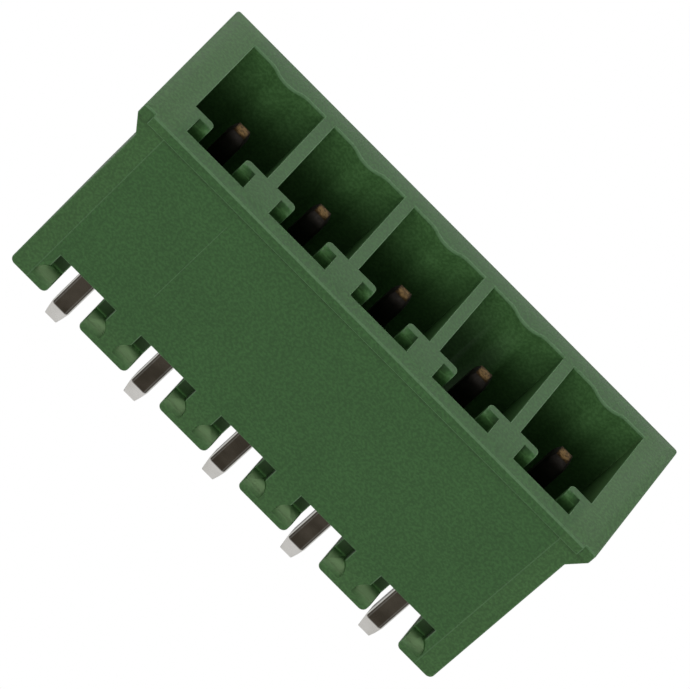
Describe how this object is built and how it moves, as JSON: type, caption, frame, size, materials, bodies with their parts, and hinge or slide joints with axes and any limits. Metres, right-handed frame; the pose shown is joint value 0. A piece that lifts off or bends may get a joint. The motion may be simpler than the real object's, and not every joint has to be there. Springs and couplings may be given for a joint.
{
  "type": "pluggable terminal block header",
  "caption": "Upright shrouded board header that a pluggable terminal block plugs onto, with square pins, T-shaped coding ribs and notched feet.",
  "frame": {"origin": "middle of the pin row on the board plane, level with the bottoms of the feet", "axes": "+X along the pin row, +Z away from the board towards the rim, the coding ribs on the -Y side"},
  "size_m": [0.028, 0.0097, 0.0159],
  "materials": {
    "housing_plastic": "green moulded polyamide, fine matte",
    "pins": "tin plated, satin"
  },
  "bodies": {
    "root": {"housing": "housing_plastic", "pin_1": "pins", "pin_2": "pins", "pin_3": "pins", "pin_4": "pins", "pin_5": "pins"}
  },
  "joints": []
}
